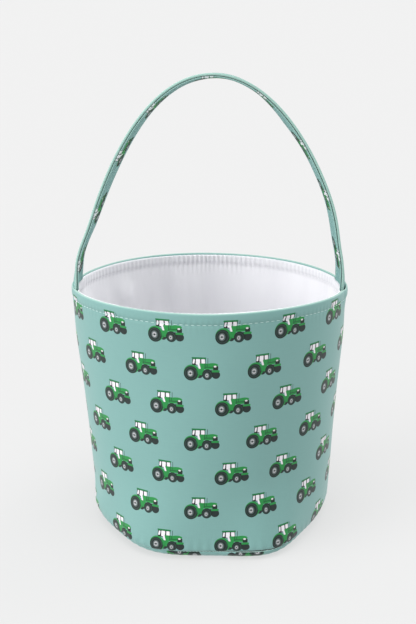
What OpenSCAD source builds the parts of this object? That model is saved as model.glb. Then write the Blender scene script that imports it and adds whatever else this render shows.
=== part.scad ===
// Soft fabric bucket bag with one fixed strap handle.
// The origin is on the floor under the middle of the base. +Z is up, -Y is the front,
// and the handle rises from the mouth's left and right corners.

/* [Mouth] */
// Half of the mouth's width, side to side
mouth_half_width = 129; // [122:1:132]
// Half of the mouth's depth, front to back
mouth_half_depth = 107; // [100:1:110]
// Height of the mouth's edge at the front and back
mouth_height = 232; // [200:1:260]
// How much lower the mouth's edge is under the handle
mouth_dip = 3; // [2:1:8]
// Roundness of the mouth: 2 is an ellipse, less pinches its two corners
mouth_roundness = 1.9; // [1.85:0.05:2]

/* [Base] */
// Half of the body's width just above the floor
base_half_width = 116; // [112:1:120]
// Half of the body's depth just above the floor
base_half_depth = 113; // [110:1:118]
// Radius of the rolled bottom edge at the front and back
front_roll = 12; // [10:1:16]
// Radius of the rolled bottom edge at the sides
side_roll = 22; // [16:1:26]

/* [Fabric] */
// Thickness of the printed shell
shell_thickness = 0.8; // [0.6:0.1:1]
// Thickness of the interlining, and of the stiffener in the base
interlining_thickness = 1.4; // [1.2:0.1:1.8]
// Thickness of the lining
lining_thickness = 0.5; // [0.4:0.1:0.6]
// Depth of the edge turned inside at the mouth
hem_depth = 11; // [10.5:0.5:12]
// Distance of the topstitching below the mouth's edge
topstitch_drop = 10; // [9:0.5:10]

/* [Handle] */
// Width of the strap
strap_width = 38; // [34:1:42]
// Height of the arch above the mouth's corners
arch_height = 197; // [180:1:210]
// Thickness of each outer ply of the strap
strap_ply = 0.9; // [0.7:0.1:1.1]
// Thickness of the interfacing between the plies
strap_interfacing = 1.6; // [1.2:0.1:2]

/* [Hidden] */

PRINT_GREEN = [0.52, 0.70, 0.69];
THREAD_GREEN = [0.72, 0.84, 0.83];
LINING_WHITE = [0.94, 0.94, 0.96];
FELT_WHITE = [0.88, 0.88, 0.86];

// Layers of the wall, as depths below its outer surface
ply_gap = 0.15;
interlining_out = shell_thickness + ply_gap;
interlining_in = interlining_out + interlining_thickness;
lining_out = interlining_in + ply_gap;
lining_in = lining_out + lining_thickness;
hem_middle = shell_thickness + interlining_thickness / 2;
hem_step = 0.05;

// Angles go round the bag from the front: 90 is the right-hand side
panel_step = 5;
panel_reach = 75;
tab_zone = 77;
seam_edge = 90 - 0.3;
corner_angles = [80, 83, 86, seam_edge];
ring_step = 5;

// Heights of the panel edges that the mouth's hem stays clear of
interlining_drop = 14;
tab_depth = 12;
tab_stitch_drop = 6;
tab_proud = 2;

// The seams in the rolled bottom edge, as shares of its quarter turn
front_seam = 0.22;
side_seam = 0.6;
lining_seam = 0.8;
seam_gap = 0.8;
thread = 0.4;
stitch_proud = 0.3;
thread_margin = 0.1;
thread_rest = 0.1;
wall_rows = [0, 0.3, 0.6, 0.85];

// The hinge line runs through both ends of the strap, half a strap width above the tabs
corner_height = mouth_height - mouth_dip;
strap_gap = 0.3;
strap_radius = strap_width / 2;
hinge_height = corner_height + tab_proud + strap_gap + strap_radius;
arch_power = 1.29;
arch_inset = 0.4;
arch_steps = 60;
core_margin = 2;
stitch_margin = 3.5;
core_out = strap_ply + ply_gap;
core_in = core_out + strap_interfacing;
inner_out = core_in + ply_gap;
inner_in = inner_out + strap_ply;

// Angles from the middle of a tab to its edge, and to the samples inside it
tab_edge = asin(pow(strap_radius / mouth_half_depth, mouth_roundness / 2));
tab_half = [for (c = corner_angles) if (90 - c < tab_edge) 90 - c];

// A superellipse's coordinate: 2 is a circle's
function bent(value, roundness) = sign(value) * pow(abs(value), 2 / roundness);

// Everything about the bag at one angle round it
function mouth_edge(angle) = mouth_height
    - mouth_dip * pow(bent(sin(angle), mouth_roundness), 2);
function roll_at(angle) = front_roll + (side_roll - front_roll) * pow(sin(angle), 2);
function seam_at(angle) = -(front_seam + (side_seam - front_seam) * pow(sin(angle), 2));
function row_below(angle, drop) = 1 - drop / (mouth_edge(angle) - roll_at(angle));
function seam_share(angle, width) = width / (roll_at(angle) * PI / 2);

// A point on the wall. row is 0 to 1 up the wall and 0 to -1 round the rolled edge;
// depth is measured inwards from the outer surface.
function wall_height(angle, row, depth) = row >= 0
    ? roll_at(angle) + row * (mouth_edge(angle) - roll_at(angle))
    : roll_at(angle) - (roll_at(angle) - depth) * sin(-90 * row);
function wall_inset(angle, row, depth) = row >= 0
    ? depth
    : roll_at(angle) - (roll_at(angle) - depth) * cos(90 * row);
function level_point(angle, inset, height, share) = [
    (base_half_width + (mouth_half_width - base_half_width) * share - inset)
        * bent(sin(angle), 2 + (mouth_roundness - 2) * share),
    -(base_half_depth + (mouth_half_depth - base_half_depth) * share - inset)
        * bent(cos(angle), 2 + (mouth_roundness - 2) * share),
    height
];
function wall_point(angle, row, depth) = level_point(
    angle, wall_inset(angle, row, depth), wall_height(angle, row, depth), max(row, 0));

// Angles of the samples across one half of the bag, whose middle is at centre
function panel_angles(centre) = [
    for (a = concat(
        [for (i = [len(corner_angles) - 1:-1:0]) -corner_angles[i]], [-tab_zone],
        [for (b = [-panel_reach:panel_step:panel_reach]) b],
        [tab_zone], corner_angles)) centre + a
];
function ring_angles() = [for (a = [0:ring_step:360 - ring_step]) a];
function off_centre(angle) = abs(((angle + 90) % 180 + 180) % 180 - 90);
function in_tab_zone(angle) = off_centre(angle) >= tab_zone;

// A solid through a list of closed outlines with the same number of points
module loft(outlines, closed = false) {
    count = len(outlines);
    size = len(outlines[0]);
    sides = [for (i = [0:count - (closed ? 1 : 2)], j = [0:size - 1]) let (
        next = (i + 1) % count * size, turn = (j + 1) % size)
        [i * size + j, i * size + turn, next + turn, next + j]];
    ends = closed ? [] : [
        [for (j = [size - 1:-1:0]) j],
        [for (j = [0:size - 1]) (count - 1) * size + j]];
    polyhedron([for (o = outlines, p = o) p], concat(sides, ends), convexity = 8);
}

// A strip of wall: each profile is a closed list of [row, depth] at its angle
module wall_strip(angles, profiles, closed = false) {
    loft([for (i = [0:len(angles) - 1])
        [for (p = profiles[i]) wall_point(angles[i], p[0], p[1])]], closed);
}

// Shell profile: up the outside, over the edge, down the turned-in hem and the inside
function shell_profile(angle) = let (
    bottom = seam_at(angle) + seam_share(angle, seam_gap / 2),
    hem = in_tab_zone(angle) ? shell_thickness + hem_step : hem_middle,
    hem_row = row_below(angle, hem_depth)) concat(
    [[bottom, 0], [bottom / 2, 0]], [for (r = wall_rows) [r, 0]], [[1, 0], [1, hem]],
    [[hem_row, hem], [hem_row, shell_thickness]],
    [for (i = [len(wall_rows) - 1:-1:0]) [wall_rows[i], shell_thickness]],
    [[bottom / 2, shell_thickness], [bottom, shell_thickness]]);

// Lining profile: the same, with its hem turned outwards
function lining_profile(angle) = let (
    bottom = -lining_seam + seam_share(angle, seam_gap / 2),
    hem = in_tab_zone(angle) ? lining_out - hem_step : hem_middle + ply_gap,
    hem_row = row_below(angle, hem_depth)) concat(
    [[bottom, lining_out], [bottom * 2 / 3, lining_out], [bottom / 3, lining_out]],
    [for (r = wall_rows) [r, lining_out]], [[hem_row, lining_out], [hem_row, hem]],
    [[1, hem], [1, lining_in]],
    [for (i = [len(wall_rows) - 1:-1:0]) [wall_rows[i], lining_in]],
    [[bottom / 3, lining_in], [bottom * 2 / 3, lining_in], [bottom, lining_in]]);

function interlining_profile(angle) = let (top = row_below(angle, interlining_drop)) concat(
    [for (r = wall_rows) [r, interlining_out]], [[top, interlining_out]],
    [[top, interlining_in]],
    [for (i = [len(wall_rows) - 1:-1:0]) [wall_rows[i], interlining_in]]);

module shell_half(centre) {
    angles = panel_angles(centre);
    wall_strip(angles, [for (a = angles) shell_profile(a)]);
}

module lining_half(centre) {
    angles = panel_angles(centre);
    wall_strip(angles, [for (a = angles) lining_profile(a)]);
}

module interlining_half(centre) {
    angles = panel_angles(centre);
    wall_strip(angles, [for (a = angles) interlining_profile(a)]);
}

// A dish that follows the rolled edge from the flat base up to its seam
module dish(rows, outside, inside) {
    angles = ring_angles();
    loft([for (layer = [[0, outside], [1, inside]], i = [0:len(rows) - 1]) let (
        row = rows[layer[0] == 0 ? i : len(rows) - 1 - i])
        [for (a = angles) wall_point(a, row[0] + row[1] * seam_at(a)
            - (row[2] == 0 ? 0 : seam_share(a, row[2])), layer[1])]]);
}

module shell_front_panel() {
    color(PRINT_GREEN) shell_half(0);
}

module shell_back_panel() {
    color(PRINT_GREEN) shell_half(180);
}

// Rows are [fixed share, share of the shell's seam row, gap below it]
module shell_base_panel() {
    color(PRINT_GREEN)
        dish([[-1, 0, 0], [-0.7, 0.3, 0], [-0.35, 0.65, 0], [0, 1, seam_gap / 2]],
            0, shell_thickness);
}

module lining_base_panel() {
    color(LINING_WHITE)
        dish([[-1, 0, 0], [-lining_seam, 0, seam_gap / 2]], lining_out, lining_in);
}

module lining_front_panel() {
    color(LINING_WHITE) lining_half(0);
}

module lining_back_panel() {
    color(LINING_WHITE) lining_half(180);
}

module wall_interlining_front() {
    color(FELT_WHITE) interlining_half(0);
}

module wall_interlining_back() {
    color(FELT_WHITE) interlining_half(180);
}

// The stiffener lies on the flat of the base, inside the rolled edge
module base_stiffener() {
    color(FELT_WHITE)
        translate([0, 0, interlining_out])
            linear_extrude(interlining_thickness)
                polygon([for (a = ring_angles()) let (p = wall_point(a, -1, 0)) [p[0], p[1]]]);
}

// A point of the mouth's right-hand corner, in the XZ plane
function corner_point(row, depth) = let (p = wall_point(90, row, depth)) [p[0], p[2]];

// The thread of the right-hand side seam, through the shell and through the lining
module side_seam_thread() {
    for (layer = [[thread_margin, shell_thickness - thread_margin, side_seam],
                  [lining_out + thread_margin, lining_in - thread_margin, lining_seam]]) {
        bottom = -layer[2] + seam_share(90, 2 * seam_gap);
        rows = concat([bottom, bottom / 2], wall_rows, [row_below(90, 1)]);
        rotate([90, 0, 0])
            linear_extrude(thread, center = true)
                polygon(concat(
                    [for (r = rows) corner_point(r, layer[0])],
                    [for (i = [len(rows) - 1:-1:0]) corner_point(rows[i], layer[1])]));
    }
}

module side_seam_thread_left() {
    color(THREAD_GREEN) mirror([1, 0, 0]) side_seam_thread();
}

module side_seam_thread_right() {
    color(THREAD_GREEN) side_seam_thread();
}

// A thread that runs all round the bag, between two depths at the row given for each angle
module ring_thread(rows, outside, inside) {
    angles = ring_angles();
    wall_strip(angles, [for (i = [0:len(angles) - 1]) let (
        half = seam_share(angles[i], thread / 2))
        [[rows[i] - half, outside], [rows[i] + half, outside],
         [rows[i] + half, inside], [rows[i] - half, inside]]], closed = true);
}

module base_seam_thread() {
    color(THREAD_GREEN)
        ring_thread([for (a = ring_angles()) seam_at(a)],
            thread_margin, shell_thickness - thread_margin);
}

module lining_seam_thread() {
    color(LINING_WHITE)
        ring_thread([for (a = ring_angles()) -lining_seam],
            lining_out + thread_margin, lining_in - thread_margin);
}

// Needle thread on the shell and bobbin thread on the lining
module rim_topstitch() {
    angles = concat(panel_angles(0), panel_angles(180));
    for (layer = [[-stitch_proud, -thread_rest],
                  [lining_in + thread_rest, lining_in + stitch_proud]])
        color(THREAD_GREEN)
            wall_strip(angles, [for (a = angles)
                [[row_below(a, topstitch_drop + thread / 2), layer[0]],
                 [row_below(a, topstitch_drop - thread / 2), layer[0]],
                 [row_below(a, topstitch_drop - thread / 2), layer[1]],
                 [row_below(a, topstitch_drop + thread / 2), layer[1]]]], closed = true);
}

// Angles across one tab, from one edge of the strap to the other
function tab_angles(side) = [for (a = concat(
    [-tab_edge], [for (t = tab_half) -t],
    [for (i = [len(tab_half) - 1:-1:0]) tab_half[i]], [tab_edge])) side + a];

// The strap's sewn-in end, between the shell and the lining, with a groove for its stitch
module strap_tab(side) {
    angles = tab_angles(side);
    groove = interlining_in - 2 * thread;
    wall_strip(angles, [for (a = angles) let (
        top = row_below(a, -tab_proud),
        bottom = row_below(a, tab_depth),
        above = row_below(a, tab_stitch_drop - thread),
        below = row_below(a, tab_stitch_drop + thread))
        [[bottom, interlining_out + ply_gap], [top, interlining_out + ply_gap],
         [top, interlining_in], [above, interlining_in], [above, groove],
         [below, groove], [below, interlining_in], [bottom, interlining_in]]]);
}

module strap_tab_left() {
    color(PRINT_GREEN) strap_tab(-90);
}

module strap_tab_right() {
    color(PRINT_GREEN) strap_tab(90);
}

// The stitch that holds a tab, inside the tab's groove
module tab_stitch(side) {
    angles = tab_angles(side);
    wall_strip(angles, [for (a = angles) let (
        above = row_below(a, tab_stitch_drop - thread / 2),
        below = row_below(a, tab_stitch_drop + thread / 2))
        [[below, interlining_in - 1.5 * thread], [above, interlining_in - 1.5 * thread],
         [above, interlining_in - thread_margin], [below, interlining_in - thread_margin]]]);
}

module tab_stitch_left() {
    color(THREAD_GREEN) tab_stitch(-90);
}

module tab_stitch_right() {
    color(THREAD_GREEN) tab_stitch(90);
}

// The arch's outline in the XZ plane, at a depth inside its outer face
function arch_base(turn) = [
    (mouth_half_width - arch_inset) * cos(turn),
    corner_height + arch_height * pow(sin(turn), arch_power)
];
function arch_point(turn, depth) = let (
    here = min(max(turn, 0.5), 179.5),
    along = arch_base(here + 0.25) - arch_base(here - 0.25))
    arch_base(turn) - depth * [along[1], -along[0]] / norm(along);

// One layer of the strap: a band of the arch whose ends are round about the hinge line
module strap_layer(outside, inside, front, back, end_radius) {
    turns = [for (i = [0:arch_steps]) 180 * i / arch_steps];
    intersection() {
        translate([0, back, 0])
            rotate([90, 0, 0])
                linear_extrude(back - front)
                    polygon(concat(
                        [for (t = turns) arch_point(t, outside)],
                        [for (i = [arch_steps:-1:0]) arch_point(turns[i], inside)]));
        union() {
            translate([-mouth_half_width - 5, 0, hinge_height])
                rotate([0, 90, 0])
                    cylinder(h = 2 * mouth_half_width + 10, r = end_radius, $fn = 64);
            translate([-mouth_half_width - 5, -end_radius, hinge_height])
                cube([2 * mouth_half_width + 10, 2 * end_radius, 2 * arch_height]);
        }
    }
}

module strap_outer_ply() {
    color(PRINT_GREEN)
        strap_layer(0, strap_ply, -strap_radius, strap_radius, strap_radius);
}

module strap_core() {
    color(FELT_WHITE)
        strap_layer(core_out, core_in, core_margin - strap_radius,
            strap_radius - core_margin, strap_radius - core_margin);
}

module strap_inner_ply() {
    color(PRINT_GREEN)
        strap_layer(inner_out, inner_in, -strap_radius, strap_radius, strap_radius);
}

module strap_stitch(place) {
    color(THREAD_GREEN)
        strap_layer(-stitch_proud, -thread_rest, place - thread / 2, place + thread / 2,
            strap_radius);
}

module strap_stitch_front() {
    strap_stitch(stitch_margin - strap_radius);
}

module strap_stitch_back() {
    strap_stitch(strap_radius - stitch_margin);
}

shell_front_panel();
shell_back_panel();
shell_base_panel();
wall_interlining_front();
wall_interlining_back();
base_stiffener();
lining_front_panel();
lining_back_panel();
lining_base_panel();
side_seam_thread_left();
side_seam_thread_right();
base_seam_thread();
lining_seam_thread();
rim_topstitch();
strap_tab_left();
strap_tab_right();
tab_stitch_left();
tab_stitch_right();
strap_outer_ply();
strap_core();
strap_inner_ply();
strap_stitch_front();
strap_stitch_back();
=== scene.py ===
# A soft fabric bucket bag with a strap handle, in an all-over print of small tractors.
# Lengths inside the script are millimetres; MM turns them into Blender's metres.
import math

import bpy
import numpy as np
from mathutils import Matrix, Vector


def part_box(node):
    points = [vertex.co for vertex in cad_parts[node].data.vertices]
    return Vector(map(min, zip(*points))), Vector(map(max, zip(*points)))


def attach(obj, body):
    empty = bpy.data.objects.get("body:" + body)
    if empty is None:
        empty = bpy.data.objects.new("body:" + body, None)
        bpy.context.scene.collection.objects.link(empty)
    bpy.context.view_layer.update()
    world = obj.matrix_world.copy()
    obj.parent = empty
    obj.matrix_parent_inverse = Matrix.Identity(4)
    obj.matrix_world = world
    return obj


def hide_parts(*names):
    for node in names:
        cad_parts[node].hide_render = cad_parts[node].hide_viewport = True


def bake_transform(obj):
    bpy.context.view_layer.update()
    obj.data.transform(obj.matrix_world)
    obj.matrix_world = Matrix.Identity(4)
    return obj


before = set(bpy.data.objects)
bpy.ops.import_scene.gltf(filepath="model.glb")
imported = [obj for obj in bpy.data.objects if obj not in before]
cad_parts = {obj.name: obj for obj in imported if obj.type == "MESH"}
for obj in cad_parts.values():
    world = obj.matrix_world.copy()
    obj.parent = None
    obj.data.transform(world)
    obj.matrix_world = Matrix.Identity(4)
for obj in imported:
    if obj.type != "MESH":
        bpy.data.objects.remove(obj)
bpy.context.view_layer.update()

MM = 0.001


def box_mm(node):
    """The lowest and highest corners of a CAD node, in millimetres."""
    low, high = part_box(node)
    return np.array(low) / MM, np.array(high) / MM


# ---------------------------------------------------------------- camera and light

CAMERA_PLACE = (-3.7, -1002.0, 517.0)
CAMERA_PITCH = 17.5
CAMERA_ROLL = 0.40
CAMERA_YAW = 0.16
CAMERA_LENS = 63.5
FLOOR_HALF = 60.0
FLOOR_TONE = (0.17, 0.17, 0.17)
FLOOR_GLOW = 0.60


def make_camera():
    pitch, roll, yaw = (math.radians(a) for a in (CAMERA_PITCH, CAMERA_ROLL, CAMERA_YAW))
    right = Vector((math.cos(yaw), -math.sin(yaw), 0))
    level = Vector((math.sin(yaw), math.cos(yaw), 0))
    ahead = level * math.cos(pitch) - Vector((0, 0, math.sin(pitch)))
    up = level * math.sin(pitch) + Vector((0, 0, math.cos(pitch)))
    tilted_right = right * math.cos(roll) - up * math.sin(roll)
    tilted_up = right * math.sin(roll) + up * math.cos(roll)
    camera = bpy.data.objects.new("camera", bpy.data.cameras.new("camera"))
    camera.data.lens = CAMERA_LENS
    camera.data.sensor_width = 36.0
    camera.data.clip_end = 200.0
    turn = Matrix((tilted_right, tilted_up, -ahead)).transposed()
    camera.matrix_world = Matrix.Translation(Vector(CAMERA_PLACE) * MM) @ turn.to_4x4()
    bpy.context.scene.collection.objects.link(camera)
    bpy.context.scene.camera = camera


def sun(name, azimuth, elevation, strength, softness):
    """A soft distant light; azimuth 0 shines from the front and 90 from the right."""
    light = bpy.data.objects.new(name, bpy.data.lights.new(name, "SUN"))
    light.data.energy = math.pi * strength
    light.data.angle = math.radians(softness)
    turn, rise = math.radians(azimuth), math.radians(elevation)
    source = Vector((math.sin(turn) * math.cos(rise), -math.cos(turn) * math.cos(rise),
                     math.sin(rise)))
    light.rotation_mode = "QUATERNION"
    light.rotation_quaternion = (-source).to_track_quat("-Z", "Y")
    light.location = source * 3
    bpy.context.scene.collection.objects.link(light)


def make_studio():
    world = bpy.data.worlds.new("studio")
    bpy.context.scene.world = world
    world.use_nodes = True
    sky = world.node_tree.nodes["Background"]
    sky.inputs["Color"].default_value = (1, 1, 1, 1)
    sky.inputs["Strength"].default_value = 0.74
    sun("key", -66, 16, 0.80, 46)
    sun("fill", 118, 16, 0.38, 46)
    sun("top", 0, 84, 0.60, 50)
    bpy.context.scene.view_settings.view_transform = "Standard"
    half = FLOOR_HALF
    floor = mesh_object("floor", np.array(
        [(-half, -half, 0), (half, -half, 0), (half, half, 0), (-half, half, 0)]) / MM,
        [(0, 1, 2, 3)])
    paint = NodePaint("studio_floor")
    paint.shader["Base Color"].default_value = (*FLOOR_TONE, 1)
    paint.shader["Roughness"].default_value = 0.9
    paint.shader["Specular IOR Level"].default_value = 0.0
    paint.shader["Emission Color"].default_value = (1, 1, 1, 1)
    paint.shader["Emission Strength"].default_value = FLOOR_GLOW
    floor.data.materials.append(paint.material)


# ---------------------------------------------------------------- mesh helpers

def mesh_object(name, points, faces, maps=None):
    """A mesh from points in millimetres; maps gives a UV pair, in metres, for each point."""
    mesh = bpy.data.meshes.new(name)
    mesh.from_pydata((np.asarray(points, float) * MM).tolist(), [], faces)
    if maps is not None:
        layer = mesh.uv_layers.new(name="Cloth")
        corners = np.zeros(len(mesh.loops), np.int64)
        mesh.loops.foreach_get("vertex_index", corners)
        layer.data.foreach_set("uv", (np.asarray(maps, float)[corners] * MM).ravel())
    mesh.validate()
    mesh.update()
    mesh.shade_smooth()
    made = bpy.data.objects.new(name, mesh)
    bpy.context.scene.collection.objects.link(made)
    return made


def loft(grid):
    """Points and faces of a solid through a grid of closed outlines (stations, outline, 3)."""
    stations, size = grid.shape[:2]
    faces = []
    for i in range(stations - 1):
        here, there = i * size, (i + 1) * size
        for j in range(size):
            k = (j + 1) % size
            faces.append((here + j, here + k, there + k, there + j))
    faces.append(tuple(range(size))[::-1])
    faces.append(tuple(range((stations - 1) * size, stations * size)))
    return grid.reshape(-1, 3), faces


def facing_out(piece):
    """Turns the faces of a closed mesh outwards."""
    mesh = piece.data
    co = np.zeros(len(mesh.vertices) * 3)
    mesh.vertices.foreach_get("co", co)
    co = co.reshape(-1, 3)
    mesh.calc_loop_triangles()
    tris = np.zeros(len(mesh.loop_triangles) * 3, np.int64)
    mesh.loop_triangles.foreach_get("vertices", tris)
    a, b, c = (co[tris.reshape(-1, 3)[:, k]] for k in range(3))
    volume = np.einsum("ij,ij->i", a, np.cross(b, c)).sum()
    if volume < 0:
        mesh.flip_normals()
    return piece


# ---------------------------------------------------------------- the bag's shape

shell_low, shell_high = box_mm("shell_front_panel")
stitch_low = box_mm("rim_topstitch")[0]
tab_high = box_mm("strap_tab_right")[1]
arch_low, arch_high = box_mm("strap_outer_ply")

TAB_PROUD = 2.0
STRAP_HALF = (arch_high[1] - arch_low[1]) / 2
ARCH_HALF = arch_high[0]
MOUTH_SHIFT = (0.3, 2.0)
BASE_SHIFT = 2.0
MOUTH_TILT = 1.3
MOUTH_A = shell_high[0]
MOUTH_B = -stitch_low[1] - 0.7
MOUTH_TOP = shell_high[2]
CORNER_TOP = tab_high[2] - TAB_PROUD
MOUTH_ROUNDNESS = 1.9
BASE_A = 116.0
BASE_B = -shell_low[1] + 0.2
FRONT_ROLL = 12.0
SIDE_ROLL = 22.0
WALL = 3.0
SHELL = 0.9
LINING_CLOTH = 0.5
INTERLINING_OUT = 1.0
INTERLINING_IN = 2.3
INTERLINING_DROP = 14.0
RIM_RADIUS = 1.6
LINING_RADIUS = 0.9
STRAP_TUCK = 11.0
FLAT_EDGE = 101.0
STITCH_DROP = 10.0
STITCH_PITCH = 5.0
LINING_PUCKER = 4.8
HEM_BULGE = 0.7
HEM_DEPTH = 11.0
LINING_SEAM = 0.8
ROUND = 720
PRINT_PITCH = 55.5
PRINT_ROW = 32.85
PRINT_SLANT = 0.019
PRINT_OFFSET = PRINT_PITCH / 2 - 2.0


def smooth(value, low, high):
    t = np.clip((value - low) / (high - low), 0, 1)
    return t * t * (3 - 2 * t)


def bump(value, centre, width):
    return np.exp(-((value - centre) / width) ** 2)


def bent(value, roundness):
    return np.sign(value) * np.abs(value) ** (2 / roundness)


def wrap(angle):
    """The same angle between minus and plus half a turn."""
    return (angle + math.pi) % (2 * math.pi) - math.pi


def rim_height(angle):
    """Height of the mouth's edge: it dips at the handle, tilts and waves a little."""
    side = bent(np.sin(angle), MOUTH_ROUNDNESS)
    dip = (MOUTH_TOP - CORNER_TOP) * side ** 4
    wave = 0.5 * np.sin(2 * angle - 0.4) * np.cos(angle) ** 2
    return MOUTH_TOP - dip - MOUTH_TILT * side + wave


def roll_radius(angle):
    return FRONT_ROLL + (SIDE_ROLL - FRONT_ROLL) * np.sin(angle) ** 2


def seam_drop(angle):
    """Distance of the base seam below the mouth's edge, along the wall."""
    share = 0.22 + 0.38 * np.sin(angle) ** 2
    return rim_height(angle) - roll_radius(angle) + share * roll_radius(angle) * math.pi / 2


def lining_seam_drop(angle):
    """Distance of the lining's base seam below the mouth's edge, along the wall."""
    return rim_height(angle) - roll_radius(angle) * (1 - LINING_SEAM * math.pi / 2)


def slump(angle, height):
    """How far the soft wall is pushed out at each angle: the base has two blunt corners."""
    low = 1 - smooth(height, 0, 75)
    corners = 8.0 * bump(angle, -0.52, 0.32) + 11.5 * bump(angle, 0.45, 0.28)
    corners += 3.5 * bump(angle, 2.5, 0.35) + 3.0 * bump(angle, -2.6, 0.35)
    return low * (corners - 1.5 * bump(angle, 1.25, 0.3) + 2.0 * bump(angle, -1.15, 0.25))


def level(angle, inset, height, share):
    a = BASE_A + (MOUTH_A - BASE_A) * share - inset
    b = BASE_B + (MOUTH_B - BASE_B) * share - inset
    roundness = 2 + (MOUTH_ROUNDNESS - 2) * share
    turned = wrap(angle)
    push = slump(turned, height)
    return np.stack([a * bent(np.sin(angle), roundness) + push * np.sin(angle)
                     + MOUTH_SHIFT[0] * share + BASE_SHIFT * (1 - share),
                     -b * bent(np.cos(angle), roundness) - push * np.cos(angle)
                     + MOUTH_SHIFT[1] * share,
                     height + 0 * angle], -1)


def wall(angle, drop, depth):
    """Points of the wall: drop is the distance below the edge, depth goes inwards."""
    radius = roll_radius(angle)
    straight = rim_height(angle) - radius
    turn = np.clip((drop - straight) / radius, 0, math.pi / 2)
    flat = np.maximum(0, drop - straight - radius * math.pi / 2)
    height = np.where(drop < straight, rim_height(angle) - drop,
                      radius - (radius - depth) * np.sin(turn))
    inset = np.where(drop < straight, depth, radius - (radius - depth) * np.cos(turn) + flat)
    share = np.clip(1 - drop / straight, 0, 1)
    return level(angle, inset, height, share)


def arc_lengths(angle):
    """Distance round the bag from the front's middle, at mid height."""
    fine = np.linspace(-math.pi, math.pi, 2881)
    ring = wall(fine, np.full_like(fine, 110.0), np.zeros_like(fine))
    steps = np.hypot(*np.diff(ring[:, :2], axis=0).T)
    length = np.concatenate([[0], np.cumsum(steps)])
    length -= length[len(fine) // 2]
    return np.interp(angle, fine, length)


def even_angles(low, high, count):
    """Angles between two limits that are evenly spaced along the wall."""
    fine = np.linspace(low, high, 4001)
    length = arc_lengths(fine)
    return np.interp(np.linspace(length[0], length[-1], count), length, fine)


def hem_relief(along, drop):
    """The puffed hem at the mouth, pulled in at the needle holes of its topstitching."""
    puff = HEM_BULGE * np.sin(math.pi * np.clip(drop / STITCH_DROP, 0, 1)) ** 0.8
    holes = 0.5 + 0.5 * np.cos(2 * math.pi * along / STITCH_PITCH)
    groove = (0.35 + 0.35 * holes) * bump(drop, STITCH_DROP, 1.1)
    fan = bump(drop, STITCH_DROP - 3.0, 3.0) + 0.7 * bump(drop, STITCH_DROP + 3.5, 3.5)
    pucker = 0.16 * np.cos(2 * math.pi * along / STITCH_PITCH) * fan
    uneven = 0.6 + 0.4 * np.sin(along / 17.0) * np.sin(along / 7.3 + 1.0)
    return puff * (0.8 + 0.2 * np.sin(along / 23.0)) - groove - pucker * uneven


def body_relief(angle, drop):
    """The wall's slow swells and dents, which every layer follows, outwards."""
    body = smooth(drop, 12, 50)
    face = np.cos(angle) ** 2
    side = bump(angle, -math.pi / 2, 0.5) + bump(angle, math.pi / 2, 0.5)
    out = body * face * (0.8 * np.sin(2 * angle + 0.6) * np.sin(drop / 46.0)
                         + 0.5 * np.sin(5 * angle + drop / 60.0)
                         + 0.3 * np.sin(9 * angle - drop / 37.0 + 1.3))
    out += side * (1.6 * bump(drop, 45, 35) - 0.8 * bump(drop, 150, 45))
    out -= 2.0 * bump(angle, -1.28, 0.16) * bump(drop, 190, 14)
    out += 1.6 * bump(angle, -1.25, 0.16) * bump(drop, 208, 8)
    return out - 1.2 * bump(angle, 0.52, 0.10) * smooth(drop, 60, 150) * smooth(-drop, -224, -190)


def shell_relief(angle, along, drop):
    """How far the printed wall stands out from its plain shape, in millimetres."""
    seam = seam_drop(angle) - drop
    out = hem_relief(along, drop) + body_relief(angle, drop)
    out -= 0.9 * bump(seam, 0, 1.3)
    gather = np.sin(2 * math.pi * along / 8.5 + 1.2 * np.sin(along / 31.0))
    out += 0.22 * gather * bump(seam, 5, 5)
    edge = np.abs(np.abs(angle) - math.pi / 2) * MOUTH_A
    return out - 0.5 * bump(edge, 0, 1.2)


def lining_relief(angle, along, drop):
    """How far the lining stands in from its plain shape: puckers and soft wrinkles."""
    holes = np.cos(2 * math.pi * along / LINING_PUCKER + 0.7 * np.sin(along / 13.0))
    strong = 0.55 + 0.45 * np.sin(along / 37.0 + 1.5)
    puff = 0.25 * np.sin(math.pi * np.clip(drop / STITCH_DROP, 0, 1)) ** 0.8
    out = puff + 0.75 * strong * holes * bump(drop, STITCH_DROP - 4.0, 5.0)
    out -= 0.4 * bump(drop, STITCH_DROP, 1.0)
    out += 0.3 * strong * (1 + holes) * bump(drop, STITCH_DROP + 4, 5.0)
    body = smooth(drop, 12, 40)
    left = bump(angle, -2.0, 0.6)
    folds = 0.5 + 0.5 * np.sin(11 * angle + 0.9 * np.sin(drop / 45.0) + 2.0)
    small = 0.5 + 0.5 * np.sin(23 * angle - drop / 55.0 + 2.0 * np.sin(drop / 70.0))
    return out + body * ((0.8 + 4.5 * left) * folds ** 2 + (0.4 + 1.5 * left) * small)


# ---------------------------------------------------------------- materials

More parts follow.
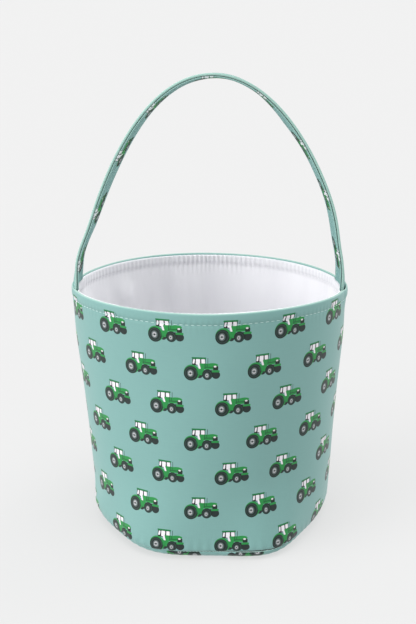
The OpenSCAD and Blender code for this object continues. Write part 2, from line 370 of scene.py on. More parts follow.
class NodePaint:
    """A Principled material and short ways of making its texture nodes."""

    def __init__(self, name):
        self.material = bpy.data.materials.new(name)
        self.material.use_nodes = True
        self.tree = self.material.node_tree
        self.shader = self.tree.nodes["Principled BSDF"].inputs

    def node(self, kind, **settings):
        made = self.tree.nodes.new("ShaderNode" + kind)
        for key, value in settings.items():
            setattr(made, key, value)
        return made

    def plug(self, socket, value):
        if isinstance(value, bpy.types.NodeSocket):
            self.tree.links.new(value, socket)
        elif value is not None:
            socket.default_value = value

    def math(self, operation, *values, clamp=False):
        made = self.node("Math", operation=operation, use_clamp=clamp)
        for socket, value in zip(made.inputs, values):
            self.plug(socket, value)
        return made.outputs[0]

    def vector(self, operation, *values):
        made = self.node("VectorMath", operation=operation)
        for socket, value in zip(made.inputs, values):
            self.plug(socket, value)
        return made.outputs["Value" if operation == "LENGTH" else "Vector"]

    def mix(self, share, low, high):
        made = self.node("Mix", data_type="RGBA")
        for name, value in (("Factor_Float", share), ("A_Color", low), ("B_Color", high)):
            socket = next(s for s in made.inputs if s.identifier == name)
            self.plug(socket, (*value, 1) if isinstance(value, tuple) else value)
        return next(s for s in made.outputs if s.identifier == "Result_Color")

    def noise(self, place, scale, detail=2.0, stretch=(1, 1, 1)):
        made = self.node("TexNoise")
        self.plug(made.inputs["Vector"], self.vector("MULTIPLY", place, stretch))
        made.inputs["Scale"].default_value = scale
        made.inputs["Detail"].default_value = detail
        return made.outputs["Fac"]

    def object_place(self):
        return self.node("TexCoord").outputs["Object"]

    def cloth_place(self):
        return self.node("UVMap", uv_map="Cloth").outputs["UV"]

    def bump(self, height, distance, strength=1.0):
        made = self.node("Bump")
        made.inputs["Strength"].default_value = strength
        made.inputs["Distance"].default_value = distance
        self.plug(made.inputs["Height"], height)
        self.tree.links.new(made.outputs["Normal"], self.shader["Normal"])


TYRE = (0.008, 0.016, 0.015)
RIM_GREY = (0.075, 0.10, 0.10)
FRAME_DARK = (0.003, 0.011, 0.008)
HUB = (0.38, 0.39, 0.40)
LEAF = (0.010, 0.215, 0.042)
ROOF = (0.004, 0.145, 0.040)
DEEP_LEAF = (0.004, 0.085, 0.024)
TREAD = (0.016, 0.038, 0.034)
GLASS = (0.72, 0.70, 0.74)
LAMP = (0.62, 0.62, 0.62)
SAGE = (0.171, 0.333, 0.314)
# A lighter sage, painted as a highlight where light catches folded edges and up-facing cloth.
SAGE_PAINTED_HIGHLIGHT = (0.30, 0.47, 0.42)

# The printed tractor, back to front. Each mark is its form, its centre across and up,
# its half sizes and its colour, in millimetres from the tractor's middle; a box also has
# a lean, which is how far it slants for each millimetre up.
TRACTOR = [
    ("oval", (-2.4, -5.9), (2.8, 2.7), TYRE),
    ("oval", (11.9, -5.4), (3.7, 3.6), TYRE),
    ("box", (3.4, -3.6), (6.5, 2.6), FRAME_DARK, 0.0),
    ("oval", (-3.0, -6.0), (1.0, 1.1), DEEP_LEAF),
    ("box", (-3.0, 6.2), (5.8, 3.2), FRAME_DARK, 0.05),
    ("box", (-7.4, 6.5), (0.80, 2.0), GLASS, 0.14),
    ("box", (-3.8, 6.2), (1.80, 2.5), GLASS, 0.02),
    ("box", (0.7, 6.7), (1.55, 2.0), GLASS, -0.04),
    ("box", (-2.9, 9.6), (6.3, 0.75), ROOF, 0.0),
    ("box", (4.8, 7.2), (0.22, 2.6), FRAME_DARK, 0.0),
    ("box", (-0.6, -1.6), (2.2, 4.2), LEAF, -0.15),
    ("oval", (-9.2, -3.6), (6.9, 7.1), LEAF),
    ("oval", (-9.9, -4.5), (6.2, 6.6), FRAME_DARK),
    ("box", (-2.9, 2.6), (0.9, 2.6), GLASS, -0.32),
    ("box", (5.4, 2.2), (7.3, 2.7), LEAF, -0.25),
    ("oval", (8.8, 3.5), (5.0, 1.8), LEAF),
    ("box", (6.4, 1.5), (4.6, 0.42), DEEP_LEAF, 0.0),
    ("box", (2.4, 2.6), (0.38, 2.6), DEEP_LEAF, 0.0),
    ("box", (4.2, 3.2), (0.30, 1.4), DEEP_LEAF, 0.0),
    ("box", (-4.3, -3.4), (0.5, 2.6), DEEP_LEAF, -0.3),
    ("box", (11.7, 0.7), (2.2, 1.9), FRAME_DARK, 0.0),
    ("oval", (11.2, 2.2), (1.15, 0.8), LAMP),
    ("box", (11.7, -2.1), (3.4, 0.95), LEAF, 0.0),
    ("oval", (4.5, -5.2), (4.6, 4.9), FRAME_DARK),
    ("oval", (-9.9, -4.4), (5.1, 5.6), TREAD),
    ("oval", (-9.9, -4.4), (4.5, 5.0), FRAME_DARK),
    ("oval", (-10.3, -4.5), (2.9, 3.5), RIM_GREY),
    ("oval", (-10.4, -4.5), (1.9, 2.4), HUB),
    ("box", (-10.4, -4.5), (2.2, 0.22), RIM_GREY, 0.3),
    ("oval", (-10.4, -4.5), (0.8, 0.9), TYRE),
    ("oval", (4.5, -5.8), (3.7, 4.2), TREAD),
    ("oval", (4.4, -5.8), (3.2, 3.7), FRAME_DARK),
    ("oval", (4.1, -6.0), (2.1, 2.6), RIM_GREY),
    ("oval", (4.0, -6.0), (1.3, 1.7), HUB),
    ("oval", (4.0, -6.0), (0.55, 0.65), TYRE),
]
CORNER = 0.6
EDGE = 0.22


def draw_tractor(paint, place, ground):
    """Mixes the tractor's marks over ground; place is millimetres from its middle."""
    colour = ground
    parts = paint.node("SeparateXYZ")
    paint.plug(parts.inputs[0], place)
    across, up = parts.outputs[0], parts.outputs[1]
    for form, centre, half, ink, *lean in TRACTOR:
        if form == "oval":
            spot = paint.vector("MULTIPLY_ADD", place, (1 / half[0], 1 / half[1], 0),
                                (-centre[0] / half[0], -centre[1] / half[1], 0))
            reach = min(half) / EDGE
            mask = paint.math("MULTIPLY_ADD", paint.vector("LENGTH", spot), -reach,
                              reach + 0.5, clamp=True)
        else:
            slant = paint.math("MULTIPLY_ADD", up, -lean[0], -centre[0] + lean[0] * centre[1])
            spot = paint.node("CombineXYZ")
            paint.plug(spot.inputs[0], paint.math("ADD", across, slant))
            paint.plug(spot.inputs[1], paint.math("SUBTRACT", up, centre[1]))
            corner = min(CORNER, *half)
            off = paint.vector("SUBTRACT", paint.vector("ABSOLUTE", spot.outputs[0]),
                               (half[0] - corner, half[1] - corner, 0))
            off = paint.vector("MAXIMUM", off, (0, 0, 0))
            mask = paint.math("MULTIPLY_ADD", paint.vector("LENGTH", off), -1 / EDGE,
                              corner / EDGE + 0.5, clamp=True)
        colour = paint.mix(mask, colour, ink)
    return colour


def brick_repeat(paint, place, shift, stagger):
    """Turns a place on the cloth, in metres, into millimetres from the nearest tractor."""
    parts = paint.node("SeparateXYZ")
    paint.plug(parts.inputs[0], place)
    along = paint.math("MULTIPLY_ADD", parts.outputs[0], 1000.0, -shift[0])
    down = paint.math("MULTIPLY_ADD", parts.outputs[1], -1000.0, -shift[1])
    row = paint.math("FLOOR", paint.math("MULTIPLY_ADD", down, 1 / PRINT_ROW, 0.5))
    odd = paint.math("FLOORED_MODULO", row, 2.0)
    even = paint.math("SUBTRACT", 1.0, odd)
    up = paint.math("MULTIPLY_ADD", row, PRINT_ROW, paint.math("MULTIPLY", down, -1.0))
    start = paint.math("MULTIPLY_ADD", even, -PRINT_OFFSET, along)
    column = paint.math("FLOOR", paint.math("MULTIPLY_ADD", start, 1 / PRINT_PITCH, 0.5))
    parity = paint.math("FLOORED_MODULO", column, 2.0)
    side = paint.math("MULTIPLY_ADD", parity, 2 * stagger, -stagger)
    step = paint.math("MULTIPLY_ADD", column, -PRINT_PITCH, start)
    across = paint.math("SUBTRACT", step, paint.math("MULTIPLY", side, even))
    made = paint.node("CombineXYZ")
    paint.plug(made.inputs[0], across)
    paint.plug(made.inputs[1], up)
    return made.outputs[0]


def cotton_print(name, shift, stagger=-1.6, edge=None):
    """Sage cotton with the tractor print, woven slubs and a soft sheen; a painted highlight of
    lighter sage beyond an edge across the cloth, or where the cloth faces up.
    """
    paint = NodePaint(name)
    place = paint.cloth_place()
    slub = paint.noise(place, 1.0, 3.0, (90, 1300, 1))
    warp = paint.noise(place, 1.0, 2.0, (1500, 110, 1))
    cloud = paint.noise(paint.object_place(), 14.0, 2.0)
    threads = paint.math("ADD", paint.math("MULTIPLY", slub, 0.65),
                         paint.math("MULTIPLY", warp, 0.35))
    light = tuple(c * 1.07 for c in SAGE)
    dark = tuple(c * 0.92 for c in SAGE)
    ground = paint.mix(threads, dark, light)
    ground = paint.mix(paint.math("MULTIPLY_ADD", cloud, 0.5, -0.1, clamp=True), ground,
                       tuple(c * 1.04 for c in SAGE))
    colour = draw_tractor(paint, brick_repeat(paint, place, shift, stagger), ground)
    worn = paint.math("MULTIPLY_ADD", threads, 0.06, -0.02, clamp=True)
    colour = paint.mix(worn, colour, SAGE)
    # Painted highlight: on the strap, lighter sage beyond edge across the ply; on the shell,
    # lighter sage where the cloth faces up, as if lit from above.
    parts = paint.node("SeparateXYZ")
    if edge:
        paint.plug(parts.inputs[0], place)
        far = paint.math("ABSOLUTE", parts.outputs[1])
        painted_highlight = paint.math("MULTIPLY_ADD", far, 1000 / 0.7, -edge / 0.7, clamp=True)
    else:
        paint.plug(parts.inputs[0], paint.node("TexCoord").outputs["Normal"])
        painted_highlight = paint.math("MULTIPLY_ADD", parts.outputs[2], 2.2, -0.9, clamp=True)
    colour = paint.mix(painted_highlight, colour, SAGE_PAINTED_HIGHLIGHT)
    paint.plug(paint.shader["Base Color"], colour)
    paint.shader["Roughness"].default_value = 0.62
    paint.shader["Specular IOR Level"].default_value = 0.10 if edge else 0.25
    paint.shader["Sheen Weight"].default_value = 0.0 if edge else 0.20
    paint.shader["Sheen Roughness"].default_value = 0.5
    paint.shader["Sheen Tint"].default_value = (1, 1, 1, 1)
    paint.bump(threads, 0.00012, 0.5)
    return paint.material


LINING_DARK = (0.86, 0.855, 0.885)
LINING_LIGHT = (0.90, 0.895, 0.92)
LINING_CLOUD = (0.88, 0.875, 0.90)
# The two greys below are painted shade: in creases and along the hem.
CREASE_SHADE_TONE = (0.74, 0.735, 0.77)
HEM_SHADE_TONE = (0.70, 0.70, 0.735)


def white_lining():
    """White cotton with faint streaks of painted crease shade and a band of painted shade along
    its hem, striped at the puckers.
    """
    paint = NodePaint("white_lining")
    place = paint.cloth_place()
    threads = paint.noise(place, 1.0, 2.0, (1400, 160, 1))
    cloud = paint.noise(paint.object_place(), 22.0, 2.0)
    colour = paint.mix(threads, LINING_DARK, LINING_LIGHT)
    colour = paint.mix(paint.math("MULTIPLY", cloud, 0.4), colour, LINING_CLOUD)
    # Painted shade: grey streaks where creases would lie in shade.
    crease_shade = paint.noise(place, 1.0, 2.0, (34, 6, 1))
    crease_shade = paint.math("MULTIPLY_ADD", crease_shade, 2.2, -0.95, clamp=True)
    colour = paint.mix(paint.math("MULTIPLY", crease_shade, 0.6), colour, CREASE_SHADE_TONE)
    parts = paint.node("SeparateXYZ")
    paint.plug(parts.inputs[0], place)
    # Painted shade along the hem band: darker and lighter stripes at the pucker pitch, and full
    # shade in a ridge just below the fold.
    pucker_shade = paint.math("SINE", paint.math("MULTIPLY", parts.outputs[0],
                                           1000 * 2 * math.pi / LINING_PUCKER))
    patchy = paint.noise(place, 1.0, 2.0, (45, 20, 1))
    shade = paint.math("MULTIPLY_ADD", paint.math("MULTIPLY", pucker_shade, patchy), 0.55, 0.55)
    hem = paint.math("MULTIPLY_ADD", parts.outputs[1], 1000 / 3.0, 13.0 / 3.0, clamp=True)
    below = paint.math("MULTIPLY_ADD", parts.outputs[1], -1000 / 0.8, -0.5 / 0.8, clamp=True)
    hem = paint.math("MULTIPLY", hem, below)
    ridge_shade = paint.math("MULTIPLY_ADD", parts.outputs[1], 1000 / 0.6, 2.9 / 0.6, clamp=True)
    shade = paint.math("MAXIMUM", shade, ridge_shade)
    colour = paint.mix(paint.math("MULTIPLY", hem, shade), colour, HEM_SHADE_TONE)
    paint.plug(paint.shader["Base Color"], colour)
    paint.shader["Roughness"].default_value = 0.55
    paint.shader["Sheen Weight"].default_value = 0.15
    paint.shader["Sheen Roughness"].default_value = 0.35
    paint.bump(threads, 0.0001, 0.4)
    return paint.material


def felt():
    paint = NodePaint("interlining_felt")
    fibres = paint.noise(paint.object_place(), 900.0, 4.0)
    paint.plug(paint.shader["Base Color"],
               paint.mix(fibres, (0.66, 0.66, 0.64), (0.86, 0.86, 0.84)))
    paint.shader["Roughness"].default_value = 0.95
    paint.bump(fibres, 0.0003, 0.6)
    return paint.material


def sewing_thread(name, dark, light):
    paint = NodePaint(name)
    twist = paint.noise(paint.object_place(), 2600.0, 2.0)
    paint.plug(paint.shader["Base Color"], paint.mix(twist, dark, light))
    paint.shader["Roughness"].default_value = 0.5
    paint.shader["Sheen Weight"].default_value = 0.3
    paint.bump(twist, 0.0001, 0.6)
    return paint.material


# ---------------------------------------------------------------- sewn pieces

STITCH_RINGS = ((-1.0, 0.30), (-0.93, 0.75), (-0.75, 1.0), (0.0, 1.0), (0.75, 1.0),
                (0.93, 0.75), (1.0, 0.30))
STITCH_SIDES = 6
SEAM_PITCH = 3.0


def unit(vectors):
    return vectors / np.linalg.norm(vectors, axis=-1, keepdims=True)


def stitch_row(name, surface, places, length, radius, sink=0.15):
    """Short rounded stitches along a row. surface(place, lift) gives points in millimetres."""
    ahead = surface(places + length / 2, 0.0)
    behind = surface(places - length / 2, 0.0)
    middle = surface(places, 0.0)
    along = unit(ahead - behind)
    out = unit(surface(places, 1.0) - middle)
    across = unit(np.cross(out, along))
    turns = np.arange(STITCH_SIDES) * 2 * math.pi / STITCH_SIDES
    points = []
    for share, width in STITCH_RINGS:
        centre = middle + along * (share * length / 2)
        rise = radius * (0.75 - sink / radius * share ** 2)
        for turn in turns:
            points.append(centre + out * (rise + width * radius * math.sin(turn))
                          + across * (width * radius * math.cos(turn)))
    points = np.stack(points, 1)
    size = points.shape[1]
    one = loft(np.zeros((len(STITCH_RINGS), STITCH_SIDES, 3)))[1]
    faces = [tuple(k * size + v for v in face) for k in range(len(places)) for face in one]
    return facing_out(mesh_object(name, points.reshape(-1, 3), faces))


def sewn(piece, material, body, slot, *nodes):
    """Gives a piece its material, its body and the CAD nodes that it replaces; slot is not used.
    """
    piece.data.materials.append(material)
    if body == "strap":
        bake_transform(piece)
    else:
        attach(piece, body)
    if nodes:
        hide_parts(*nodes)
    return piece


# ---------------------------------------------------------------- shell and lining

SEAM_GAP = 0.0006
TOP_ROWS = np.arange(2.0, 14.0, 0.8)
MIDDLE_ROWS = np.linspace(0, 1, 52)
LOW_ROWS = np.array([7.0, 5.6, 4.2, 3.2, 2.4, 1.7, 1.1, 0.6, 0.2])
FOLD_STEPS = 9
CENTRE_RINGS = 24


def tab_zone(angle):
    """1 where the wall takes in an end of the strap, 0 elsewhere."""
    across = np.abs(MOUTH_B * bent(np.cos(angle), MOUTH_ROUNDNESS))
    return 1 - smooth(across, 19.0, 27.0)


def fold_radius(angle):
    return RIM_RADIUS - 0.55 * tab_zone(angle)


def shell_out(angle, along, drop):
    """How far the shell stands out, the strap's bulge at the mouth's corners included."""
    bulge = (0.9 + 0.5 * np.sin(angle)) * tab_zone(angle) * (1 - smooth(drop, 2, 24))
    return shell_relief(angle, along, drop) + bulge


def panel_angles(middle, count):
    """Angles across half the bag from the panel's middle, and the same all round the bag."""
    local = even_angles(-math.pi / 2 + SEAM_GAP, math.pi / 2 - SEAM_GAP, count)
    return local, local + middle, wrap(local + middle)


def wall_rows(seam):
    middle = TOP_ROWS[-1] + 1 + (seam - LOW_ROWS[0] - 2 - TOP_ROWS[-1] - 1) * MIDDLE_ROWS[:, None]
    return np.concatenate([TOP_ROWS[:, None] + 0 * seam, middle, seam - LOW_ROWS[:, None]])


def shell_panel(name, node, middle, shift):
    local, angle, wrapped = panel_angles(middle, ROUND // 2 + 1)
    along = arc_lengths(local)
    radius = fold_radius(angle)
    outer = wall_rows(seam_drop(angle))[::-1]
    outer_depth = -shell_out(wrapped, along, outer)
    turn = np.linspace(0, math.pi, FOLD_STEPS)[:, None]
    edge = -shell_out(wrapped, along, radius)
    fold = radius * (1 - np.sin(turn))
    fold_depth = edge + radius * (1 - np.cos(turn))
    inner = outer[::-1][::4]
    thick = SHELL + (2 * radius - SHELL) * (1 - smooth(inner, HEM_DEPTH - 1, HEM_DEPTH + 1))
    inner_depth = thick - shell_out(wrapped, along, inner)
    drop = np.concatenate([outer, fold, inner])
    depth = np.concatenate([outer_depth, fold_depth, inner_depth])
    down = np.concatenate([outer, radius * (1 - turn), radius * (2 - math.pi) - inner])
    down = down + MOUTH_TOP - rim_height(angle)
    grid = wall(angle, drop, depth).transpose(1, 0, 2)
    points, faces = loft(grid)
    maps = np.stack([along[:, None] + PRINT_SLANT * down.T, -down.T], -1).reshape(-1, 2)
    piece = facing_out(mesh_object(name, points, faces, maps))
    return sewn(piece, cotton_print(name + "_cotton", shift), "bag", "print_fabric", node)


def interlining_panel(name, node, middle):
    _, angle, wrapped = panel_angles(middle, 181)
    straight = rim_height(angle) - roll_radius(angle)
    rows = INTERLINING_DROP + (straight - INTERLINING_DROP) * np.linspace(0, 1, 40)[:, None]
    relief = body_relief(wrapped, rows)
    drop = np.concatenate([rows[::-1], rows])
    depth = np.concatenate([INTERLINING_OUT - relief[::-1], INTERLINING_IN - relief])
    points, faces = loft(wall(angle, drop, depth).transpose(1, 0, 2))
    piece = facing_out(mesh_object(name, points, faces))
    return sewn(piece, FELT, "bag", "interlining", node)


def lining_inside(angle, along, drop):
    """Depth of the lining's inner face, which thickens over the hem and round the strap."""
    hem = 1 - smooth(drop, 8.5, 13.5)
    calm = smooth(lining_seam_drop(angle) - drop, 0, 18)
    over_strap = 1.9 * tab_zone(angle) * (1 - smooth(drop, STRAP_TUCK + 1, STRAP_TUCK + 7))
    return (WALL + 1.1 * hem + over_strap
            + calm * (lining_relief(angle, along, drop) - body_relief(angle, drop)))


def lining_lift(angle):
    """How far the lining's fold stands above the shell's: more at the front."""
    return -0.95 + 0.65 * np.cos(angle) + 0.15 * np.sin(5 * angle + 0.4) - 0.3 * tab_zone(angle)


def lining_panel(name, node, middle):
    local, angle, wrapped = panel_angles(middle, ROUND // 2 + 1)
    along = arc_lengths(local)
    inner = wall_rows(lining_seam_drop(angle))[::-1]
    inner_depth = lining_inside(wrapped, along, inner)
    turn = np.linspace(0, math.pi, FOLD_STEPS)[:, None]
    edge = lining_inside(wrapped, along, TOP_ROWS[0] + 0 * along)
    fold = TOP_ROWS[0] - (TOP_ROWS[0] + lining_lift(angle)) * np.sin(turn)
    fold_depth = edge - LINING_RADIUS * (1 - np.cos(turn))
    outer = inner[::-1][::4]
    hem = 1 - smooth(outer, HEM_DEPTH - 1, HEM_DEPTH + 1)
    thick = LINING_CLOTH + (2 * LINING_RADIUS - LINING_CLOTH) * hem
    outer_depth = lining_inside(wrapped, along, outer) - thick
    drop = np.concatenate([inner, fold, outer])
    depth = np.concatenate([inner_depth, fold_depth, outer_depth])
    grid = wall(angle, drop, depth).transpose(1, 0, 2)
    points, faces = loft(grid)
    maps = np.stack([along[:, None] + 0 * drop.T, -drop.T], -1).reshape(-1, 2)
    piece = facing_out(mesh_object(name, points, faces, maps))
    return sewn(piece, LINING, "bag", "lining", node)


def dish(name, drops, out_depth, in_depth, material, slot, node):
    """A base panel: rings across the bottom and up the rolled edge, and back again."""
    angle = np.linspace(0, 2 * math.pi, ROUND // 2, endpoint=False)
    wrapped = wrap(angle)
    drop = drops(angle)
    under = wall(angle, drop, out_depth(wrapped, drop))
    above = wall(angle, drop[::-1], in_depth(wrapped, drop[::-1]))
    flat = under[:1] * np.array([1, 1, 0])
    rings = np.linspace(0.02, 0.97, CENTRE_RINGS)[:, None]
    centre = rings[:, :, None]
    low = flat * centre + np.array([0, 0, 1]) * under[0, :, 2][None, :, None]
    high_edge = above[-1:] * np.array([1, 1, 0])
    high = high_edge * centre[::-1] + np.array([0, 0, 1]) * above[-1, :, 2][None, :, None]
    grid = np.concatenate([low, under, above, high])
    points, faces = loft(grid)
    rolled = 1 + (drop[0] - drop) / FLAT_EDGE
    seen = np.concatenate([rings + 0 * angle, rolled, rolled[::-1], rings[::-1] + 0 * angle])
    maps = np.stack([-seen * np.sin(angle), -seen * np.cos(angle)], -1) * FLAT_EDGE
    piece = facing_out(mesh_object(name, points, faces, maps.reshape(-1, 2)))
    return sewn(piece, material, "bag", slot, node)


def quarter_end(angle):
    """The drop at which the rolled edge meets the flat of the base."""
    return rim_height(angle) - roll_radius(angle) * (1 - math.pi / 2)


def shell_base_rows(angle):
    start, end = quarter_end(angle) + 4.0, seam_drop(angle) + 0.15
    return start + (end - start) * np.linspace(0, 1, 26)[:, None]


def base_relief(angle, drop):
    seam = drop - seam_drop(angle)
    along = arc_lengths(angle)
    gather = np.sin(2 * math.pi * along / 8.5 + 1.2 * np.sin(along / 31.0))
    rolled = smooth(quarter_end(angle) - drop, -1, 8)
    return rolled * (0.22 * gather * bump(seam, 4, 4)) - 0.9 * bump(seam, 0, 1.2)


def make_base():
    dish("shell_base", shell_base_rows,
         lambda a, d: -base_relief(a, d),
         lambda a, d: SHELL - base_relief(a, d),
         cotton_print("shell_base_cotton", (27.0, 10.5)), "print_fabric", "shell_base_panel")

    def rows(angle):
        start = quarter_end(angle) + 4.0
        end = lining_seam_drop(angle) + 0.3
        return start + (end - start) * np.linspace(0, 1, 10)[:, None]

    dish("lining_base", rows, lambda a, d: 2.5 + 0 * d, lambda a, d: 3.0 + 0 * d,
         LINING, "lining", "lining_base_panel")


# ---------------------------------------------------------------- rows of stitches

def loop_length():
    """The length once round the bag, at mid height."""
    return arc_lengths(np.array([math.pi]))[0] * 2


def arc_lengths_open(angle):
    """arc_lengths beyond half a turn."""
    wrapped = wrap(angle)
    turns = np.round((angle - wrapped) / (2 * math.pi))
    return arc_lengths(wrapped) + turns * loop_length()


def angle_at(place):
    """The angle at a distance round the bag, a little past half a turn either way."""
    fine = np.linspace(-1.02 * math.pi, 1.02 * math.pi, 4001)
    return np.interp(place, arc_lengths_open(fine), fine)


def make_wall_stitches():
    loop = loop_length()
    count = round(loop / STITCH_PITCH)
    places = (np.arange(count) + 0.5) * loop / count - loop / 2

    def outside(place, lift):
        angle = angle_at(place)
        drop = STITCH_DROP + 0 * angle
        return wall(angle, drop, -shell_out(angle, along_panel(angle), drop) - lift)

    def inside(place, lift):
        angle = angle_at(place)
        drop = STITCH_DROP + 0 * angle
        return wall(angle, drop, lining_inside(angle, along_panel(angle), drop) + lift)

    row = stitch_row("rim_stitches", outside, places, 3.7, 0.30)
    sewn(row, THREAD, "bag", "thread", "rim_topstitch")
    row = stitch_row("rim_stitches_inside", inside, places, 3.4, 0.22)
    sewn(row, LINING_THREAD, "bag", "thread")


def along_panel(angle):
    """Distance along the panel that holds an angle, from that panel's middle."""
    local = (angle + math.pi / 2) % math.pi - math.pi / 2
    return arc_lengths(local)


def make_seam_stitches():
    for side, name in ((-1, "left"), (1, "right")):
        angle = side * math.pi / 2
        places = np.arange(3.0, 218.0, SEAM_PITCH)

        def surface(place, lift, angle=angle):
            here = angle + 0 * place
            return wall(here, place, 0.62 - body_relief(here, place)
                        - 1.3 * (1 - smooth(place, 2, 24)) - lift)

        row = stitch_row("side_seam_stitches_" + name, surface, places, 2.2, 0.14)
        sewn(row, THREAD, "bag", "thread", "side_seam_thread_" + name)
    loop = loop_length()
    count = round(loop / SEAM_PITCH)
    places = np.arange(count) * loop / count - loop / 2

    def base_seam(place, lift):
        angle = angle_at(place)
        return wall(angle, seam_drop(angle), 1.0 - lift + 0 * angle)

    row = stitch_row("base_seam_stitches", base_seam, places, 2.2, 0.14)
    sewn(row, THREAD, "bag", "thread", "base_seam_thread")

    def lining_seam(place, lift):
        angle = angle_at(place)
        return wall(angle, lining_seam_drop(angle), 2.9 + lift + 0 * angle)

    row = stitch_row("lining_seam_stitches", lining_seam, places, 2.2, 0.14)
    sewn(row, LINING_THREAD, "bag", "lining_thread", "lining_seam_thread")


# ---------------------------------------------------------------- strap

ARCH_RISE = arch_high[2] - CORNER_TOP + 0.8
ARCH_POWER = 1.29
ARCH_LEAN = 3.8
LEFT_BOW = 3.6
RIGHT_BOW = -1.2
RIGHT_KNEE = -3.2
LEFT_KNEE = -1.7
FOOT_TWIST = math.radians(-1)
STRAP_STEP = 1.25
FLARE = math.radians(9.0)
OUTER_TOP = 1.85
OUTER_BOTTOM = -0.55
INNER_TOP = -0.95
INNER_BOTTOM = -2.0
EDGE_STITCH = 3.4
EDGE_PITCH = 3.4
STRAP_PRINT_RUN = 1.014
TILT_TURNS = np.radians([0, 40, 60, 85, 100, 112, 125, 137, 150, 180])
TILT_SHARES = (1.0, 1.0, 0.85, 0.85, 0.55, 0.55, 0.75, 0.5, 0.45, 0.5)


def strap_line():
    """The strap's middle line: distance along it, its points, outward normals and flare."""
    turn = np.linspace(0, math.pi, 1601)
    rise = np.sin(turn) ** ARCH_POWER
    x = -ARCH_HALF * np.cos(turn)
    z = CORNER_TOP + ARCH_RISE * rise
    along = np.stack([np.gradient(x), np.gradient(z)], -1)
    along = unit(along)
    normal = np.stack([-along[:, 1], along[:, 0]], -1)
    tilt = FOOT_TWIST + (FLARE - FOOT_TWIST) * (1 - (1 - rise) ** 2.4)
    tilt = tilt * np.interp(turn, TILT_TURNS, TILT_SHARES)
    inset = OUTER_TOP + STRAP_HALF * np.sin(tilt)
    low = 1 - smooth(z, CORNER_TOP + 1, CORNER_TOP + 18)
    inset = inset + 0.5 * low
    centre = np.stack([x, z], -1) - normal * inset[:, None]
    bow = np.where(turn < math.pi / 2, LEFT_BOW, RIGHT_BOW) * 4 * rise * (1 - rise)
    knee = np.where(turn > math.pi / 2, RIGHT_KNEE * bump(z, CORNER_TOP + 42, 26),
                    LEFT_KNEE * bump(z, CORNER_TOP + 38, 18))
    centre[:, 0] += MOUTH_SHIFT[0] + ARCH_LEAN * smooth(z, CORNER_TOP, CORNER_TOP + 60) + bow
    centre[:, 0] += knee * smooth(z, CORNER_TOP, CORNER_TOP + 25)
    tuck = np.linspace(-STRAP_TUCK, 0, 12, endpoint=False)
    wall_lean = (MOUTH_A - BASE_A) / (CORNER_TOP - SIDE_ROLL)
    left = np.stack([centre[0, 0] - wall_lean * tuck, CORNER_TOP + tuck], -1)
    right = np.stack([centre[-1, 0] + wall_lean * tuck, CORNER_TOP + tuck], -1)
    line = np.concatenate([left, centre, right[::-1]])
    tilt = np.concatenate([tilt[0] + 0 * tuck, tilt, tilt[-1] + 0 * tuck])
    steps = np.linalg.norm(np.diff(line, axis=0), axis=1)
    length = np.concatenate([[0], np.cumsum(steps)])
    count = int(length[-1] / STRAP_STEP)
    place = np.linspace(0, length[-1], count)
    line = np.stack([np.interp(place, length, line[:, k]) for k in range(2)], -1)
    along = unit(np.stack([np.gradient(line[:, 0]), np.gradient(line[:, 1])], -1))
    normal = np.stack([-along[:, 1], along[:, 0]], -1)
    return place, line, normal, np.interp(place, length, tilt)


LINE_PLACE, LINE, LINE_NORMAL, LINE_TILT = strap_line()
STRAP_LENGTH = LINE_PLACE[-1]


def strap_point(place, across, height):
    """A point of the strap: distance along it, distance towards the back, height outwards."""
    x, z = (np.interp(place, LINE_PLACE, LINE[:, k]) for k in range(2))
    nx, nz = (np.interp(place, LINE_PLACE, LINE_NORMAL[:, k]) for k in range(2))
    tilt = np.interp(place, LINE_PLACE, LINE_TILT)
    above = z - CORNER_TOP
    hug = 1 - smooth(above, 0, 30)
    bow = -2.9 * hug * np.abs(across / STRAP_HALF) ** 1.9
    squeeze = 1 - 0.12 * (1 - smooth(above, 0, 8))
    lift = height * squeeze * np.cos(tilt) - across * np.sin(tilt) + bow
    y = across * np.cos(tilt) + height * np.sin(tilt)
    return np.stack([x + nx * lift, y + 0 * lift, z + nz * lift], -1)


def strap_relief(place, across, phase):
    """The strap's face: puffed edges, grooves along its stitches and soft hollows."""
    edge = STRAP_HALF - np.abs(across)
    holes = 0.5 + 0.5 * np.cos(2 * math.pi * place / EDGE_PITCH)
    groove = (0.22 + 0.2 * holes) * bump(edge, EDGE_STITCH, 0.8)
    crown = 0.25 * smooth(edge, EDGE_STITCH, 12)
    wave = 0.18 * np.sin(place / 9.0 + phase) * np.sin(place / 23.0 + across / 9.0)
    return crown - groove + wave * smooth(edge, 3, 8)


def ply_outline(low, high):
    """One ply's cross-section: across, height and how much its face follows the relief."""
    radius = (high - low) / 2
    middle = (high + low) / 2
    reach = STRAP_HALF - radius
    face = np.concatenate([np.arange(-reach, -reach + 7.0, 0.6),
                           np.linspace(-reach + 7.4, reach - 7.4, 12),
                           -np.arange(-reach, -reach + 7.0, 0.6)[::-1]])
    turn = np.linspace(math.pi / 2, -math.pi / 2, 9)[1:-1]
    rows = [(u, high, 1.0) for u in face]
    rows += [(reach + radius * math.cos(t), middle + radius * math.sin(t), 0.0) for t in turn]
    rows += [(u, low, -1.0) for u in face[::-1][::2]]
    rows += [(-reach - radius * math.cos(t), middle + radius * math.sin(t), 0.0)
             for t in turn[::-1]]
    return np.array(rows)


def strap_ply(name, low, high, seen_side, phase, shift, stretch, highlight_band, nodes):
    rows = ply_outline(low, high)
    across, height, side = rows.T
    place = LINE_PLACE[:, None]
    follow = (side == seen_side) * seen_side
    grid = strap_point(place, across, height + follow * strap_relief(place, across, phase))
    points, faces = loft(grid)
    maps = np.stack([STRAP_PRINT_RUN * place + 0 * across,
                     seen_side * across / stretch + 0 * place], -1).reshape(-1, 2)
    piece = facing_out(mesh_object(name, points, faces, maps))
    # Lighter sage is painted as a highlight in a band along each long edge of the ply.
    cloth = cotton_print(name + "_cotton", shift, edge=(STRAP_HALF - highlight_band) / stretch)
    return sewn(piece, cloth, "strap", "strap_fabric", *nodes)


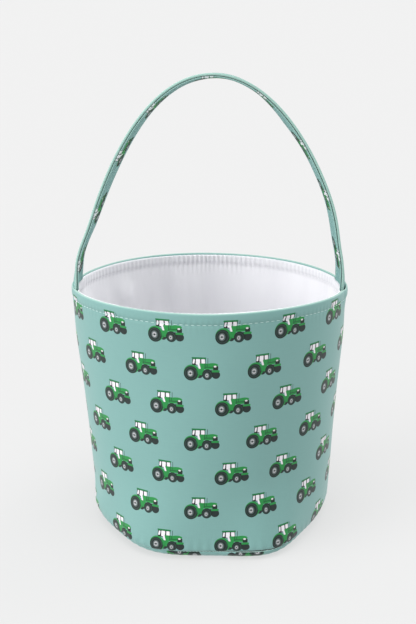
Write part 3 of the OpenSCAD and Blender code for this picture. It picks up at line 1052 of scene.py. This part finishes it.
def make_strap():
    strap_ply("strap_outer_layer", OUTER_BOTTOM, OUTER_TOP, 1, 0.0, (20.0, 0.0), 1.0, 1.7,
              ["strap_outer_ply", "strap_tab_left", "strap_tab_right"])
    strap_ply("strap_inner_layer", INNER_BOTTOM, INNER_TOP, -1, 1.7, (11.4, -2.5), 1.8, 0.7,
              ["strap_inner_ply"])
    width = np.linspace(-1, 1, 15) * (STRAP_HALF - 3.6)
    across = np.concatenate([width, width[::-1]])
    height = np.repeat([INNER_TOP, OUTER_BOTTOM], len(width))
    points, faces = loft(strap_point(LINE_PLACE[::3, None], across, height))
    core = facing_out(mesh_object("strap_interfacing", points, faces))
    sewn(core, FELT, "strap", "interlining", "strap_core")
    places = np.arange(STRAP_TUCK + 2, STRAP_LENGTH - STRAP_TUCK - 2, EDGE_PITCH)
    for name, edge in (("front", -1), ("back", 1)):
        line = edge * (STRAP_HALF - EDGE_STITCH)

        def outside(place, lift, line=line):
            return strap_point(place, line, OUTER_TOP + strap_relief(place, line, 0.0) + lift)

        def inside(place, lift, line=line):
            return strap_point(place, line, INNER_BOTTOM - strap_relief(place, line, 1.7) - lift)

        row = stitch_row("strap_stitches_" + name, outside, places, 2.5, 0.2, 0.1)
        sewn(row, THREAD, "strap", "thread", "strap_stitch_" + name)
        row = stitch_row("strap_stitches_under_" + name, inside, places, 2.5, 0.2, 0.1)
        sewn(row, THREAD, "strap", "thread")


# ---------------------------------------------------------------- the scene

LINING = white_lining()
FELT = felt()
THREAD = sewing_thread("pale_thread", (0.36, 0.56, 0.53), (0.55, 0.74, 0.70))
LINING_THREAD = sewing_thread("white_thread", (0.74, 0.74, 0.77), (0.88, 0.88, 0.90))

make_camera()
make_studio()
shell_panel("shell_front", "shell_front_panel", 0.0, (-6.3, 16.0))
shell_panel("shell_back", "shell_back_panel", math.pi, (14.0, 16.0))
interlining_panel("interlining_front", "wall_interlining_front", 0.0)
interlining_panel("interlining_back", "wall_interlining_back", math.pi)
lining_panel("lining_front", "lining_front_panel", 0.0)
lining_panel("lining_back", "lining_back_panel", math.pi)
make_base()
make_wall_stitches()
make_seam_stitches()
make_strap()

for node, material in (("base_stiffener", FELT), ("tab_stitch_left", THREAD),
                       ("tab_stitch_right", THREAD)):
    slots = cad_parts[node].data.materials
    slots.clear()
    slots.append(material)
